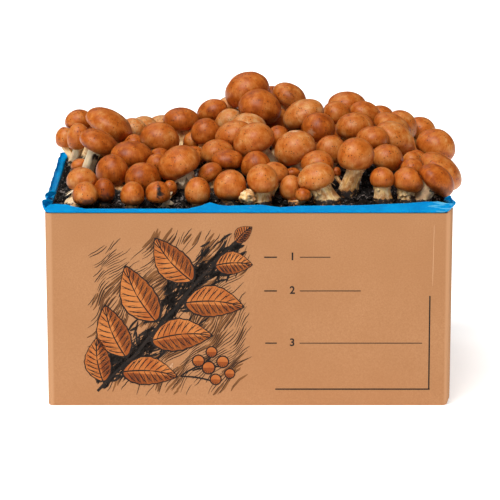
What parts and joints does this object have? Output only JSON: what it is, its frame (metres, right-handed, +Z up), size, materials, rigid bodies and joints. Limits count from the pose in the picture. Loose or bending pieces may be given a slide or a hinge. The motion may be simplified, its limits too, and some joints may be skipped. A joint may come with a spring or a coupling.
{
  "type": "mushroom grow kit",
  "caption": "Open cardboard box with a blue film liner, filled with compost under dark peat, covered by a dense mounded crop of round brown-capped mushrooms on pale stems.",
  "frame": {"origin": "centre of the carton's underside, on the surface that the kit stands on", "axes": "+X to the right along the carton's long side as seen from its printed front, +Y towards its back, +Z up"},
  "size_m": [0.4189, 0.3056, 0.2972],
  "materials": {
    "kraft_board": "matt brown kraft corrugated board",
    "polythene_film": "satin blue polythene film",
    "compost": "dark straw compost",
    "peat": "moist black peat",
    "mushroom": "satin brown caps on cream stems"
  },
  "bodies": {
    "root": {"carton": "kraft_board", "compost_block": "compost", "liner": "polythene_film", "mushroom_a11": "mushroom", "mushroom_a12": "mushroom", "mushroom_a1_a2": "mushroom", "mushroom_a3_a4": "mushroom", "mushroom_a5_a13": "mushroom", "mushroom_a6": "mushroom", "mushroom_a7_a8": "mushroom", "mushroom_a9_a10": "mushroom", "mushroom_b10": "mushroom", "mushroom_b11_b12": "mushroom", "mushroom_b13_c8": "mushroom", "mushroom_b14_b15": "mushroom", "mushroom_b17": "mushroom", "mushroom_b18_b19": "mushroom", "mushroom_b1_b2": "mushroom", "mushroom_b20": "mushroom", "mushroom_b21": "mushroom", "mushroom_b22_b23": "mushroom", "mushroom_b24": "mushroom", "mushroom_b25": "mushroom", "mushroom_b3_h3": "mushroom", "mushroom_b4": "mushroom", "mushroom_b5_b9": "mushroom", "mushroom_b6_b7": "mushroom", "mushroom_b8": "mushroom", "mushroom_c1": "mushroom", "mushroom_c10": "mushroom", "mushroom_c11_c12": "mushroom", "mushroom_c13_c15": "mushroom", "mushroom_c14_d7": "mushroom", "mushroom_c2": "mushroom", "mushroom_c3_c4": "mushroom", "mushroom_c5_c6": "mushroom", "mushroom_c7": "mushroom", "mushroom_c9": "mushroom", "mushroom_d10": "mushroom", "mushroom_d11": "mushroom", "mushroom_d12": "mushroom", "mushroom_d1_d2": "mushroom", "mushroom_d3_e1": "mushroom", "mushroom_d4_d13": "mushroom", "mushroom_d5": "mushroom", "mushroom_d6_d9": "mushroom", "mushroom_d8": "mushroom", "mushroom_e10_e11": "mushroom", "mushroom_e2_e3": "mushroom", "mushroom_e4_h9": "mushroom", "mushroom_e5": "mushroom", "mushroom_e6": "mushroom", "mushroom_e7_e12": "mushroom", "mushroom_e8_e9": "mushroom", "mushroom_h1_h2": "mushroom", "mushroom_h4_h5": "mushroom", "mushroom_h6_h7": "mushroom", "mushroom_h8": "mushroom", "peat_casing": "peat"}
  },
  "joints": []
}
